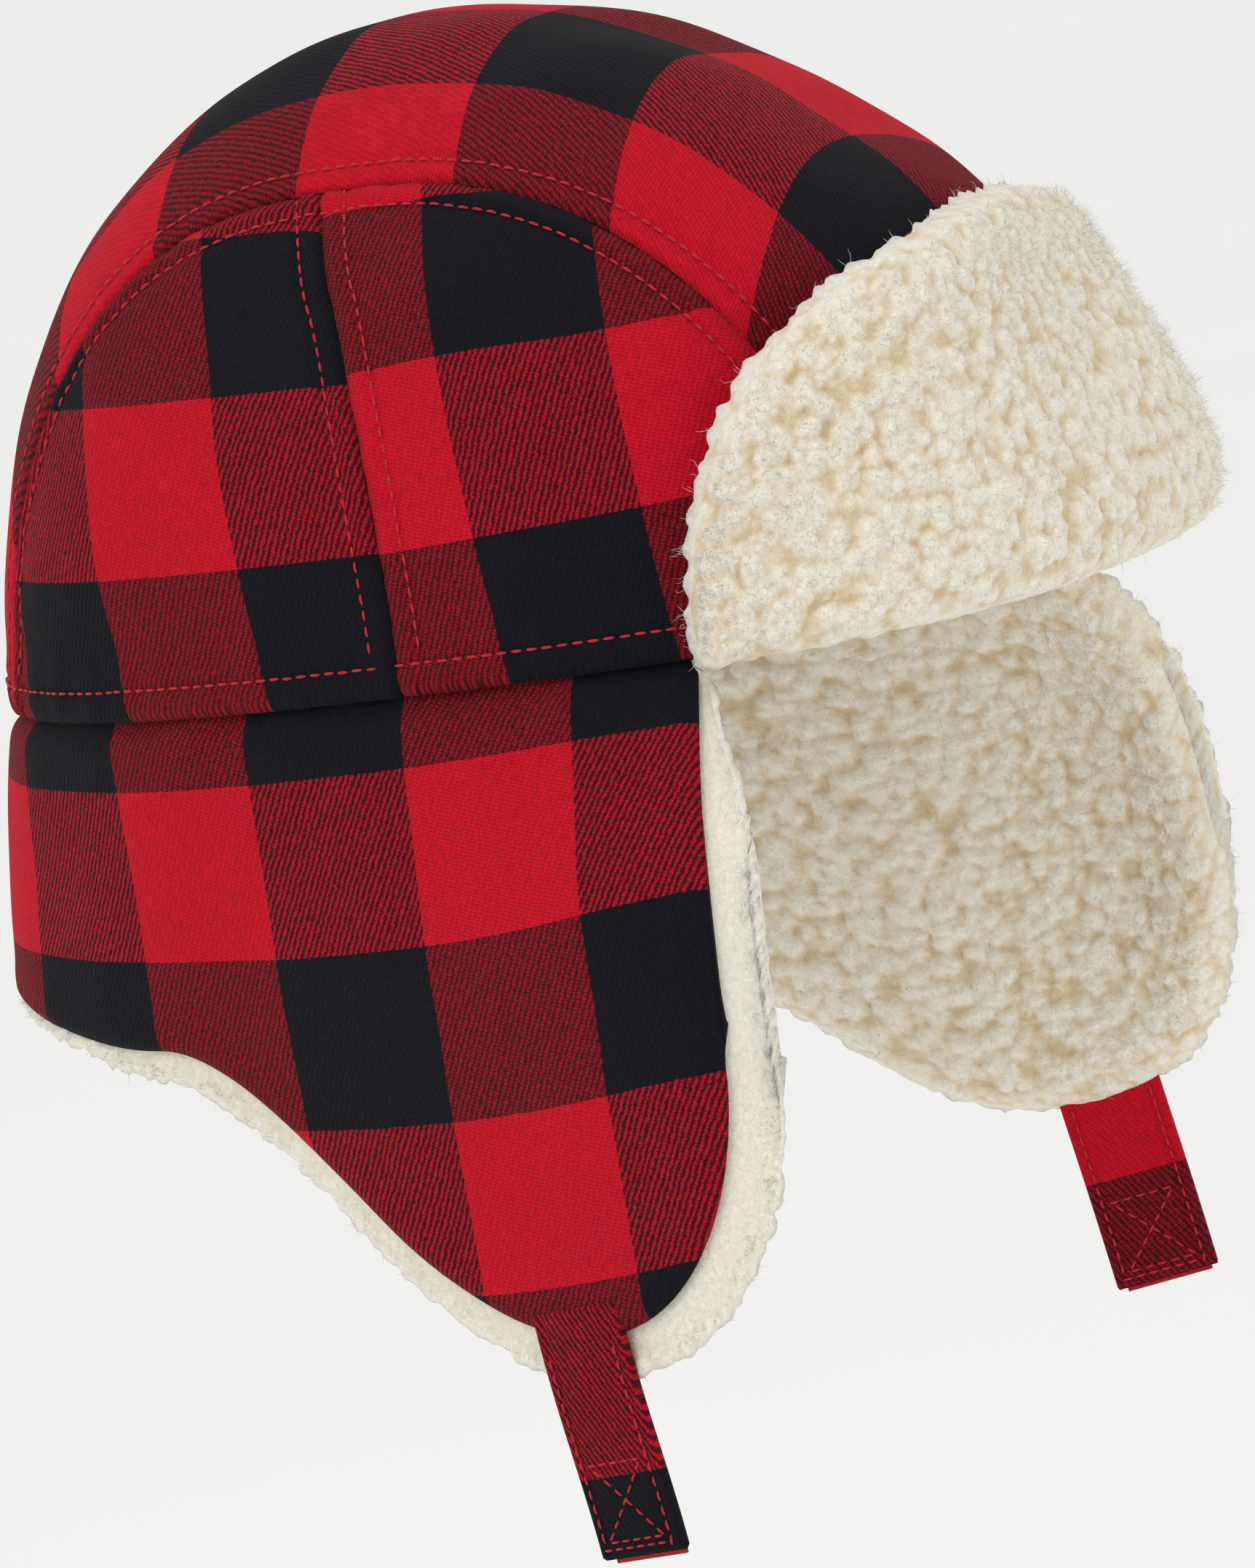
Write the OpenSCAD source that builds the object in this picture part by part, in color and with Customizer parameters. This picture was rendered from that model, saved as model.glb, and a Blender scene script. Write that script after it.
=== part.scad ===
// Trapper hat: five-panel flannel crown, sherpa lining, fold-down front flap,
// two earflaps that fold up, and two chin straps with a hook and a loop patch.
// The frame: +X the wearer's left, -Y the front, +Z up, origin at the centre of
// the base seam, where the crown meets the band. Millimetres.

/* [Crown] */
// Outside length of the crown at the base seam, front to back
crown_length = 200; // [168:1:240]
// Outside width of the crown at the base seam
crown_width = 164; // [136:1:200]
// Height of the crown above the base seam
crown_height = 108; // [88:1:132]
// How far the top of the crown leans back
crown_lean = 9; // [0:0.5:16]
// Width of the centre panel between its two long seams
centre_panel_width = 103; // [84:1:124]

/* [Cloth] */
// Thickness of the brushed flannel
flannel = 1.4; // [0.8:0.1:2.4]
// Thickness of the sherpa, knitted backing and pile together
sherpa = 9; // [5:0.5:12]
// Gap left in every sewn seam and between two layers
seam_gap = 0.4; // [0.3:0.05:0.6]

/* [Band and earflaps] */
// Depth of the band at the back of the neck
neck_depth = 57; // [44:1:70]
// Depth of an earflap at its tip
flap_depth = 106.5; // [90:1:134]
// Distance from the hat's middle forward to an earflap's front edge
flap_front = 57.5; // [52:1:70]
// Distance from the hat's middle forward to an earflap's tip
flap_tip = 24; // [14:1:30]
// Depth at which the front edge starts to round towards the tip
flap_corner = 56; // [50:1:74]
// How far an earflap's front edge stands out sideways
flap_splay = 28; // [20:1:36]
// How far the neck stands out at its hem
neck_flare = 16; // [0:1:16]
// How far the pile hangs out below the flannel's hem
pile_roll = 8.5; // [3:0.5:10]
// How far the pile stands out past an earflap's front edge
pile_front = 6; // [3:0.5:8]

/* [Earflap fold] */
// Depth of the fold at an earflap's front edge
fold_front = 26; // [16:1:34]
// Distance from the hat's middle back to where the fold leaves the hem
fold_back = 52; // [40:1:58]
// Angle that an earflap can swing in from where it hangs
fold_in = 12; // [4:1:15]

/* [Front flap] */
// Height of the front flap at its middle
visor_height = 60; // [46:1:72]
// Angle round the head from the middle of the flap to each end
visor_angle = 57; // [50:1:66]
// Distance that the flap stands off the crown at its foot
visor_gap = 2; // [1:0.5:5]
// How far the flap's top edge leans back
visor_lean = 6; // [0:0.5:12]

/* [Chin straps] */
// Width of a strap
strap_width = 19.5; // [14:0.5:26]
// Length of a strap below the earflap
strap_length = 37; // [26:1:60]
// Thickness of a strap, two layers of flannel
strap_thick = 2.4; // [1.6:0.1:4]
// Angle that a strap hangs forward
strap_angle = 8; // [0:1:16]
// Length of the strap that stays with the earflap
strap_root = 12; // [11:0.5:14]
// Length of the hook patch and of the loop patch
patch_length = 16; // [10:1:20]
// Thickness of a patch
patch_thick = 1.2; // [0.6:0.1:2]

/* [Label] */
// Width of the folded care label
label_width = 24; // [14:1:36]
// Length of the folded care label
label_length = 28; // [14:1:40]

/* [Hidden] */

half_l = crown_length / 2;
half_w = crown_width / 2;
half_panel = centre_panel_width / 2;
plan_power = 2.5;        // squareness of the base outline
dome_power = 1.97;       // fullness of the crown seen from the side
side_seam_angle = 88;    // the upright seam in the side of the crown
corner_trim = 0.1;       // width cut off each pointed end of a side panel
splay_end_angle = 110;   // the splay dies out this far round the head
splay_forward = 0.25;    // the share of the splay that also goes forward
splay_reach = 26;        // depth over which the splay grows
neck_start_angle = 105;  // the neck's flare starts this far round the head
hem_span = 80;           // run of the hem from the tip back to the neck
fold_trim = 6;           // length cut off the earflap's pointed back end
fold_gap = 1;            // gap between the band and an earflap along the fold
level_depth = 18;        // below this depth the lining is square to the flannel
fold_standoff = 1.5;     // distance from the earflap's cloth out to its fold axis
visor_power = 2.6;       // squareness of the front flap's ends
visor_margin = 0.02;     // share of the half-width left off each end of the flap
strap_gap = 2.6;         // room for a strap to bend at its root
patch_margin = 1.6;      // strap left showing round a patch
label_thick = 0.8;
label_standoff = 2.5;    // distance from the lining in to the label's far face

// Cloth layers, each as its depth in from the outside face
shell_layer = [0, flannel];
lining_layer = [flannel + seam_gap, flannel + seam_gap + sherpa];

function signed_pow(v, e) = sign(v) * pow(abs(v), e);
function smooth(v) = let (k = min(1, max(0, v))) k * k * (3 - 2 * k);
function unit(v) = v / norm(v);
function mix(a, b, k) = a + (b - a) * k;

// ---- The base outline: angle 0 is the front, 90 the right side, 180 the back
function outline(phi) = [
  -half_w * signed_pow(sin(phi), 2 / plan_power),
  -half_l * signed_pow(cos(phi), 2 / plan_power)
];
// The angle at which the outline is a given distance behind the middle
function angle_at_y(y) = acos(signed_pow(-y / half_l, plan_power / 2));
// The angle at which the outline is a given distance out from the middle
function angle_at_x(x) = asin(pow(x / half_w, plan_power / 2));

// ---- The crown: a dome whose section is a rounded oval at every height
function lean(z) = crown_lean * pow(z / crown_height, 2);
function dome_ring(x, y) = pow(
  pow(abs(x / half_w), plan_power) + pow(abs(y / half_l), plan_power), 1 / plan_power);
function dome_height(ring) = crown_height
  * pow(max(0, 1 - pow(min(1, ring), dome_power)), 1 / dome_power);
// Outward direction at a point of the upright, not yet leaning dome
function dome_normal(x, y, z) = let (
  ring = max(0.0001, dome_ring(x, y)),
  k = pow(ring, dome_power - plan_power),
  dx = k * signed_pow(x / half_w, plan_power - 1) / half_w,
  dy = k * signed_pow(y / half_l, plan_power - 1) / half_l,
  dz = pow(max(0, z / crown_height), dome_power - 1) / crown_height,
  tilt = 2 * crown_lean * z / pow(crown_height, 2)
) unit([dx, dy, dz - tilt * dy]);
function dome_point(x, y, depth) = let (
  z = dome_height(dome_ring(x, y)),
  n = dome_normal(x, y, z)
) [x, y + lean(z), z] - depth * n;

// A row across the centre panel, at an angle from the front over the top
function centre_row(theta, half, columns, depth) = [
  for (i = [0:columns]) let (
    x = mix(-half, half, i / columns),
    reach = half_l * pow(1 - pow(abs(x / half_w), plan_power), 1 / plan_power)
  ) dome_point(x, -reach * cos(theta), depth)
];
function centre_grid(depth, columns, rows) = [
  for (j = [0:rows])
    centre_row(180 * j / rows, half_panel - seam_gap / 2, columns, depth)
];
// A column up a side panel, from the base seam to the long seam
function side_column(phi, rows, depth) = let (
  o = outline(phi),
  edge = (half_panel + seam_gap / 2) / abs(o[0]),
  top = acos(pow(min(1, edge), dome_power / 2))
) [
  for (j = [0:rows]) let (ring = pow(cos(top * j / rows), 2 / dome_power))
    dome_point(o[0] * ring, o[1] * ring, depth)
];
side_start_angle = angle_at_x(half_panel + seam_gap / 2 + corner_trim);
side_gap_angle = seam_gap / 2 / half_l * 180 / PI;
function front_side_grid(depth, columns, rows) = [
  for (i = [0:columns]) let (
    last = side_seam_angle - side_gap_angle,
    phi = mix(side_start_angle, last, 1 - cos(90 * i / columns))
  ) side_column(phi, rows, depth)
];
function back_side_grid(depth, columns, rows) = [
  for (i = [0:columns]) let (
    first = side_seam_angle + side_gap_angle,
    phi = mix(first, 180 - side_start_angle, sin(90 * i / columns))
  ) side_column(phi, rows, depth)
];
function whole_side_grid(depth, columns, rows) = [
  for (i = [0:columns])
    side_column(mix(side_start_angle, 180 - side_start_angle,
      (1 - cos(180 * i / columns)) / 2), rows, depth)
];

// ---- The band and the earflaps hang from the outline and stand out as they go down
flap_front_angle = angle_at_y(-flap_front);
fold_end_angle = angle_at_y(fold_back);
function splay_share(phi) = smooth((splay_end_angle - phi)
  / (splay_end_angle - flap_front_angle));
function splay_growth(h) = 1 - exp(-pow(h / splay_reach, 1.4));
function neck_share(phi) = smooth((phi - neck_start_angle) / (180 - neck_start_angle));
function band_surface(phi, h) = let (
  o = outline(phi),
  splay = flap_splay * splay_share(phi) * splay_growth(max(0, h)),
  flare = neck_flare * neck_share(phi) * pow(max(0, h) / neck_depth, 0.75)
) [o[0] - splay, o[1] - splay_forward * splay + flare, -h];
function band_normal(phi, h) = let (
  step = 0.2,
  along = band_surface(phi + step, h) - band_surface(phi - step, h),
  down = band_surface(phi, h + step) - band_surface(phi, max(0, h - step)),
  n = unit(cross(along, down))
) unit([n[0], n[1], n[2] * smooth(h / level_depth)]);
function band_point(phi, h, depth) = band_surface(phi, h) - depth * band_normal(phi, h);

// Depth of the hem below the base seam, at a distance behind the middle
function hem_depth(y) = y < -flap_tip
  ? flap_corner + (flap_depth - flap_corner)
    * pow(max(0, 1 - pow((-flap_tip - y) / (flap_front - flap_tip), 2.2)), 1 / 2.2)
  : mix(flap_depth, neck_depth, smooth(pow(min(1, (y + flap_tip) / hem_span), 1.1)));
// Depth of the earflap's fold, a straight line seen from the side
fold_slope = (hem_depth(fold_back) - fold_front) / (fold_back + flap_front);
function fold_line(y) = fold_front + (y + flap_front) * fold_slope;
function fold_depth(phi) = let (
  a = fold_line(outline(phi)[1]),
  b = fold_line(band_surface(phi, a)[1])
) fold_line(band_surface(phi, b)[1]);
function fold_point(phi) = band_surface(phi, fold_depth(phi));
// The fold's axis, seen from above: along the fold's chord, outside its bulge
fold_first = fold_point(flap_front_angle);
fold_last = fold_point(fold_end_angle);
fold_run = unit([fold_last[0] - fold_first[0], fold_last[1] - fold_first[1]]);
fold_out = [-fold_run[1], fold_run[0]];
function fold_bulge(p) = (p[0] - fold_first[0]) * fold_out[0] + (p[1] - fold_first[1]) * fold_out[1];
fold_axis_out = fold_standoff
  + max([for (phi = [flap_front_angle:1:fold_end_angle]) fold_bulge(fold_point(phi))]);
// How far in from the axis the cloth is, at an angle round the head
function fold_inset(phi) = fold_axis_out - fold_bulge(fold_point(phi));
// Room above the earflap that lets it swing in
function fold_relief(phi, depth) = (depth + fold_inset(phi)) * tan(fold_in + 0.5);

// Places along the band: crowded where the hem turns, then even
function front_reach(roll) = flap_front - flap_tip + (roll > 0 ? pile_front : 0);
function front_places(roll, columns) = [
  for (i = [0:columns - 1]) -flap_tip - front_reach(roll) * cos(90 * i / columns)
];
function hem_at(y, roll) = roll + hem_depth(
  y < -flap_tip
    ? -flap_tip + (y + flap_tip) * (flap_front - flap_tip) / front_reach(roll) : y);
back_seam_angle = 180 - seam_gap / 2 / half_w * 180 / PI;
function band_angles(roll, columns, last) = let (tip = angle_at_y(-flap_tip)) concat(
  [for (y = front_places(roll, columns)) angle_at_y(y)],
  [for (i = [0:columns]) mix(tip, last, i / columns)]);

// Rows up a column of the fixed band: from the fold, or from the hem behind it
function band_column(phi, roll, rows, depth) = let (
  y = outline(phi)[1],
  low = min(hem_at(y, roll), phi <= fold_end_angle ? fold_depth(phi) - fold_gap / 2 : 1000)
) [for (j = [0:rows]) band_point(phi, mix(low, seam_gap, j / rows), depth)];
function band_grid(roll, columns, rows, depth) = [
  for (phi = concat(band_angles(roll, columns, fold_end_angle),
      [for (i = [1:columns]) mix(fold_end_angle, back_seam_angle, i / columns)]))
    band_column(phi, roll, rows, depth)
];
// Rows up a column of the swinging earflap: from the hem to the fold
function flap_column(phi, roll, rows, depth) = let (
  high = fold_depth(phi) + fold_gap / 2 + fold_relief(phi, depth),
  low = hem_at(outline(phi)[1], roll)
) [for (j = [0:rows]) band_point(phi, mix(low, high, j / rows), depth)];
function flap_grid(roll, columns, rows, depth) = [
  for (phi = band_angles(roll, columns, angle_at_y(fold_back - fold_trim)))
    flap_column(phi, roll, rows, depth)
];

// ---- The front flap stands on the base seam in front of the crown
function visor_surface(u, h) = let (
  o = outline(visor_angle * u),
  n = unit([-pow(abs(sin(visor_angle * u)), 2 - 2 / plan_power) * sign(u) / half_w,
    -pow(cos(visor_angle * u), 2 - 2 / plan_power) / half_l])
) [o[0] + n[0] * visor_gap, o[1] + n[1] * visor_gap + visor_lean * h / visor_height, h];
function visor_normal(u, h) = let (
  across = visor_surface(u + 0.01, h) - visor_surface(u - 0.01, h),
  up = visor_surface(u, h + 1) - visor_surface(u, h)
) unit(cross(up, across));
function visor_top(u) = visor_height
  * pow(1 - pow(abs(u), visor_power), 1 / visor_power);
function visor_grid(columns, rows, depth) = [
  for (i = [0:columns]) let (
    u = (1 - visor_margin) * cos(180 - 180 * i / columns)
  ) [for (j = [0:rows]) let (h = mix(seam_gap, visor_top(u), j / rows))
      visor_surface(u, h) + depth * visor_normal(u, h)]
];

// ---- A closed solid between two grids of points of the same size
module between(outer, inner) {
  a = len(outer);
  b = len(outer[0]);
  points = concat([for (line = outer) for (p = line) p], [for (line = inner) for (p = line) p]);
  n = a * b;
  function at(i, j) = i * b + j;
  // Walls run round the rim in the order of the corners
  rim = concat(
    [for (i = [0:a - 2]) [at(i, 0), at(i + 1, 0)]],
    [for (j = [0:b - 2]) [at(a - 1, j), at(a - 1, j + 1)]],
    [for (i = [a - 1:-1:1]) [at(i, b - 1), at(i - 1, b - 1)]],
    [for (j = [b - 1:-1:1]) [at(0, j), at(0, j - 1)]]);
  faces = concat(
    [for (i = [0:a - 2]) for (j = [0:b - 2])
      for (f = [[at(i, j), at(i + 1, j), at(i + 1, j + 1)],
                [at(i, j), at(i + 1, j + 1), at(i, j + 1)]]) f],
    [for (i = [0:a - 2]) for (j = [0:b - 2])
      for (f = [[n + at(i, j), n + at(i + 1, j + 1), n + at(i + 1, j)],
                [n + at(i, j), n + at(i, j + 1), n + at(i + 1, j + 1)]]) f],
    [for (e = rim) for (f = [[e[1], e[0], n + e[0]], [e[1], n + e[0], n + e[1]]]) f]);
  polyhedron(points = points, faces = faces, convexity = 8);
}
module left_side() {
  mirror([1, 0, 0]) children();
}

// ---- Crown shell
module crown_centre_panel() {
  color("firebrick")
    between(centre_grid(shell_layer[0], 12, 24), centre_grid(shell_layer[1], 12, 24));
}
module crown_front_panel() {
  color("darkred")
    between(front_side_grid(shell_layer[0], 10, 8), front_side_grid(shell_layer[1], 10, 8));
}
module crown_back_panel() {
  color("maroon")
    between(back_side_grid(shell_layer[0], 10, 8), back_side_grid(shell_layer[1], 10, 8));
}

// ---- Crown lining
module crown_lining_centre() {
  color("ivory")
    between(centre_grid(lining_layer[0], 8, 20), centre_grid(lining_layer[1], 8, 20));
}
module crown_lining_side() {
  color("linen")
    between(whole_side_grid(lining_layer[0], 14, 7), whole_side_grid(lining_layer[1], 14, 7));
}

// ---- Band and earflaps
module neck_band() {
  color("firebrick")
    between(band_grid(0, 6, 5, shell_layer[0]), band_grid(0, 6, 5, shell_layer[1]));
}
module neck_lining() {
  color("ivory")
    between(band_grid(pile_roll, 6, 4, lining_layer[0]),
      band_grid(pile_roll, 6, 4, lining_layer[1]));
}
module earflap_shell() {
  color("darkred")
    between(flap_grid(0, 9, 7, shell_layer[0]), flap_grid(0, 9, 7, shell_layer[1]));
}
module earflap_lining() {
  color("ivory")
    between(flap_grid(pile_roll, 8, 6, lining_layer[0]),
      flap_grid(pile_roll, 8, 6, lining_layer[1]));
}

// ---- Front flap: flannel against the crown, sherpa on the face
module front_flap_backing() {
  color("firebrick")
    between(visor_grid(24, 6, flannel), visor_grid(24, 6, 0));
}
module front_flap_facing() {
  color("ivory")
    between(visor_grid(24, 6, flannel + seam_gap + sherpa), visor_grid(24, 6, flannel + seam_gap));
}

// ---- Chin straps, in a frame at an earflap's tip: X out of the hat, Z up the strap
tip_angle = angle_at_y(-flap_tip);
tip_point = band_surface(tip_angle, flap_depth + seam_gap);
tip_along = band_surface(tip_angle + 1, flap_depth) - band_surface(tip_angle - 1, flap_depth);
tip_turn = atan2(-tip_along[0], tip_along[1]);
patch_width = strap_width - 2 * patch_margin;
module strap_frame() {
  translate(tip_point) rotate([0, 0, tip_turn]) rotate([-strap_angle, 0, 0]) children();
}
module strap_piece(high, low) {
  translate([flannel - strap_thick, -strap_width / 2, -low])
    cube([strap_thick, strap_width, low - high]);
}
module strap_root_piece() {
  color("maroon") strap_frame() strap_piece(seam_gap + strap_width * sin(strap_angle), strap_root);
}
module chin_strap() {
  color("firebrick") strap_frame() strap_piece(strap_root + strap_gap, strap_length);
}
module patch(face) {
  strap_frame()
    translate([face, -patch_width / 2, patch_margin - strap_length])
      cube([patch_thick, patch_width, patch_length]);
}
module hook_patch() {
  color("crimson") patch(flannel);
}
module loop_patch() {
  color("crimson") patch(flannel - strap_thick - patch_thick);
}

// ---- Care label, folded double and sewn to the lining at the back
module care_label() {
  color("white")
    translate([-label_width / 2, half_l - lining_layer[1] - label_standoff, -label_length])
      cube([label_width, label_thick, label_length]);
}

crown_centre_panel();
crown_front_panel();  // crown_front_panel_right
crown_back_panel();  // crown_back_panel_right
left_side() crown_front_panel();  // crown_front_panel_left
left_side() crown_back_panel();  // crown_back_panel_left
crown_lining_centre();
crown_lining_side();  // crown_lining_right
left_side() crown_lining_side();  // crown_lining_left
neck_band();  // neck_band_right
left_side() neck_band();  // neck_band_left
neck_lining();  // neck_lining_right
left_side() neck_lining();  // neck_lining_left
earflap_shell();  // earflap_shell_right
left_side() earflap_shell();  // earflap_shell_left
earflap_lining();  // earflap_lining_right
left_side() earflap_lining();  // earflap_lining_left
front_flap_facing();
front_flap_backing();
strap_root_piece();  // strap_root_right
left_side() strap_root_piece();  // strap_root_left
chin_strap();  // chin_strap_right
left_side() chin_strap();  // chin_strap_left
hook_patch();  // hook_patch_right
left_side() loop_patch();  // loop_patch_left
care_label();
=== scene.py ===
import bpy
import numpy as np
from mathutils import Matrix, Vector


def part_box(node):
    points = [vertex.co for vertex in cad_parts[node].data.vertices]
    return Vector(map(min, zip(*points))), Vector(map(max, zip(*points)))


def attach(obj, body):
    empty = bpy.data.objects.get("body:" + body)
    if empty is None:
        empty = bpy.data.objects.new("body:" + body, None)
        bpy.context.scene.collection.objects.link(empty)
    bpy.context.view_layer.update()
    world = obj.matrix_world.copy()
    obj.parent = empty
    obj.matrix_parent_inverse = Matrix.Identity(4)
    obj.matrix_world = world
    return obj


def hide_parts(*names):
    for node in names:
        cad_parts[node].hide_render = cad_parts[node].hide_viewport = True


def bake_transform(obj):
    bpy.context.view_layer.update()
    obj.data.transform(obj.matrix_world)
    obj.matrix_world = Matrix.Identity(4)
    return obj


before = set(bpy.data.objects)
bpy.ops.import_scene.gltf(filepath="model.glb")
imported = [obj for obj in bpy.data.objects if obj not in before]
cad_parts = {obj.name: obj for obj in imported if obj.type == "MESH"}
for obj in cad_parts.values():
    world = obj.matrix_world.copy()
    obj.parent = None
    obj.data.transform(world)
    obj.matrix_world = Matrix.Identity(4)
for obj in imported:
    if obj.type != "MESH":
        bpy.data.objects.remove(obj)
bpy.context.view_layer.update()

# ---- The viewer and the studio -------------------------------------------------------
# The hat is seen from its right front and a little from above, its crown tipped to the left.
# It hangs over a wide pale floor, in the light of a big soft box, a second one and a white room.
turn, rise, tip_over = np.radians((-62.0, 7.72, 10.01))
away = np.array([np.sin(turn) * np.cos(rise), -np.cos(turn) * np.cos(rise), np.sin(rise)])
level = np.cross(-away, (0, 0, 1))
level /= np.linalg.norm(level)
above = np.cross(level, -away)
viewer = bpy.data.objects.new("viewer", bpy.data.cameras.new("viewer"))
viewer.data.lens, viewer.data.sensor_width = 196.9, 36
viewer.data.clip_start, viewer.data.clip_end = 0.05, 100


def aim(thing, axes):
    """Turns a camera or lamp so that its own X, Y and Z are the first three axes, at the fourth."""
    matrix = Matrix.Identity(4)
    for column, axis in enumerate(axes):
        for row in range(3):
            matrix[row][column] = axis[row]
    thing.matrix_world = matrix
    bpy.context.scene.collection.objects.link(thing)


aim(viewer, (np.cos(tip_over) * level - np.sin(tip_over) * above,
             np.sin(tip_over) * level + np.cos(tip_over) * above,
             away, 1.5 * away + 0.00172 * level - 0.0303 * above))
bpy.context.scene.camera = viewer
bpy.context.scene.view_settings.view_transform = "Standard"

room = bpy.data.worlds.new("white_room")
room.use_nodes = True
room.node_tree.nodes["Background"].inputs["Color"].default_value = (1, 0.995, 0.985, 1)
room.node_tree.nodes["Background"].inputs["Strength"].default_value = 0.86
bpy.context.scene.world = room


def soft_box(name, place, size, power, colour):
    """A square lamp that faces the hat's middle: its -Z axis points from place to there."""
    lamp = bpy.data.objects.new(name, bpy.data.lights.new(name, "AREA"))
    lamp.data.size, lamp.data.energy, lamp.data.color = size, power, colour
    back = np.array(place) / np.linalg.norm(place)
    side = np.cross((0, 0, 1), back)
    side /= np.linalg.norm(side)
    aim(lamp, (side, np.cross(back, side), back, place))


soft_box("key", 1.5 * away - 0.9 * level + 1.25 * above, 0.9, 9, (1, 0.985, 0.96))
soft_box("fill", 1.3 * away + 1.3 * level + 0.35 * above, 1.2, 2.5, (0.96, 0.98, 1))
reach, drop = 30, -0.45
floor_mesh = bpy.data.meshes.new("floor")
floor_mesh.from_pydata([(-reach, -reach, drop), (reach, -reach, drop), (reach, reach, drop),
                        (-reach, reach, drop)], [], [(0, 1, 2, 3)])
floor = bpy.data.objects.new("floor", floor_mesh)
bpy.context.scene.collection.objects.link(floor)


class Wire:
    """A socket of a material's nodes. Sums and products of wires and numbers add Math nodes."""

    def __init__(self, tree, socket=None):
        self.tree, self.socket = tree, socket

    def node(self, kind, settings=(), out=0, **inputs):
        """A node of any kind: its settings first, then its sockets, by name or as number n as _n."""
        new = self.tree.nodes.new(kind)
        for name, value in dict(settings).items():
            setattr(new, name, value)
        for name, value in inputs.items():
            socket = new.inputs[int(name[1:]) if name[0] == "_" else name.replace("_", " ")]
            if isinstance(value, Wire):
                self.tree.links.new(value.socket, socket)
            else:
                socket.default_value = value
        return Wire(self.tree, new.outputs[out])

    def maths(self, operation, *others):
        return self.node("ShaderNodeMath", {"operation": operation},
                         **{f"_{n}": v for n, v in enumerate((self, *others))})

    def __add__(self, other):
        return self.maths("ADD", other)

    __radd__ = __add__

    def __sub__(self, other):
        return self.maths("SUBTRACT", other)

    def __rsub__(self, other):
        return (self * -1).maths("ADD", other)

    def __mul__(self, other):
        return self.maths("MULTIPLY", other)

    __rmul__ = __mul__

    def over(self, low, high):
        """0 below low, 1 above high, with a soft step between."""
        return self.node("ShaderNodeMapRange", {"interpolation_type": "SMOOTHSTEP"}, Value=self,
                         From_Min=low, From_Max=high)

    def blended(self, first, second):
        """The first colour where this wire is 0, the second where it is 1."""
        return self.node("ShaderNodeMix", {"data_type": "RGBA"}, out=2, _0=self, _6=first, _7=second)

    def noise(self, scale, detail=2.0, rough=0.5, stretch=(1, 1, 1)):
        """Noise from 0 to 1 over this wire's coordinates, which stretch multiplies first."""
        spread = self.node("ShaderNodeMapping", _0=self, Scale=stretch)
        return self.node("ShaderNodeTexNoise", Vector=spread, Scale=scale, Detail=detail,
                         Roughness=rough)


def finish_of(base, roughness, height, depth, sheen=0.0):
    """Closes a material: its colour and bump height, with a constant roughness and sheen."""
    shader = base.tree.nodes["Principled BSDF"]
    shader.inputs["Sheen Weight"].default_value = sheen
    shader.inputs["Sheen Roughness"].default_value = 0.55
    shader.inputs["Specular IOR Level"].default_value = 0.12
    shader.inputs["Roughness"].default_value = roughness
    bump = base.node("ShaderNodeBump", Strength=1.0, Distance=depth, Height=height)
    for socket, wire in (("Base Color", base), ("Normal", bump)):
        base.tree.links.new(wire.socket, shader.inputs[socket])


def new_finish(name):
    """A new material, and a wire to build its nodes from."""
    material = bpy.data.materials.new(name)
    material.use_nodes = True
    return material, Wire(material.node_tree)


def linear(*levels):
    """A screen colour, as levels of 255, turned into the linear light that nodes use."""
    c = np.array(levels) / 255
    return tuple(np.where(c <= 0.04045, c / 12.92, ((c + 0.055) / 1.055) ** 2.4)) + (1.0,)


studio_floor, wire = new_finish("pale_floor")
place = wire.node("ShaderNodeTexCoord", out=3)
finish_of(place.noise(3.0).blended(linear(252, 252, 252), linear(255, 255, 255)), 0.9,
          place.noise(40.0), 0.0002)
floor_mesh.materials.append(studio_floor)

# ---- The crown: brushed flannel ------------------------------------------------------
# Five panels of brushed cotton flannel, a red and navy-black buffalo check woven as a 2/2 twill:
# one long panel from brow to nape, and two short ones on each side. They are sewn edge to edge.
half_length, half_width, crown_height = 0.100, 0.082, 0.108
plan_power, dome_power, crown_lean = 2.5, 1.97, 0.009
flannel, check_across, check_up = 0.0014, 0.0312, 0.0297


def signed_power(v, e):
    """|v|^e with v's own sign."""
    return np.sign(v) * np.abs(v) ** e


def smooth(v):
    """The soft step 3v^2 - 2v^3, held at 0 and 1 outside."""
    v = np.clip(v, 0, 1)
    return v * v * (3 - 2 * v)


def outline(angle):
    """The base seam seen from above, a squared oval: x = -b s^(2/n), y = -a c^(2/n), angle in degrees."""
    a = np.radians(angle)
    return (-half_width * signed_power(np.sin(a), 2 / plan_power),
            -half_length * signed_power(np.cos(a), 2 / plan_power))


def ring_of(x, y):
    """How far out a point of the plan is, (|x/b|^n + |y/a|^n)^(1/n): 1 on the outline."""
    return (np.abs(x / half_width) ** plan_power + np.abs(y / half_length) ** plan_power) ** (1 / plan_power)


def lean(z):
    """How far back the crown leans at a height, as the square of its share of the crown's height."""
    return crown_lean * (z / crown_height) ** 2


def on_crown(x, y, z):
    """A point carried out from the hat's middle to the crown, ring^p + (z/H)^p = 1, then leant back."""
    ring = ring_of(x, y)
    k = (ring ** dome_power + np.abs(z / crown_height) ** dome_power) ** (-1 / dome_power)
    return np.stack([x * k, y * k + lean(z * k), z * k], -1)


def dome(x, y):
    """The crown's surface over a point of its plan, leant back."""
    z = crown_height * np.maximum(0, 1 - np.minimum(ring_of(x, y), 1) ** dome_power) ** (1 / dome_power)
    return np.stack([x, y + lean(z), z], -1)


def length_at(x):
    """How far in front of and behind the middle the outline is, at a distance to the side."""
    return half_length * (1 - np.abs(x / half_width) ** plan_power) ** (1 / plan_power)


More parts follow.
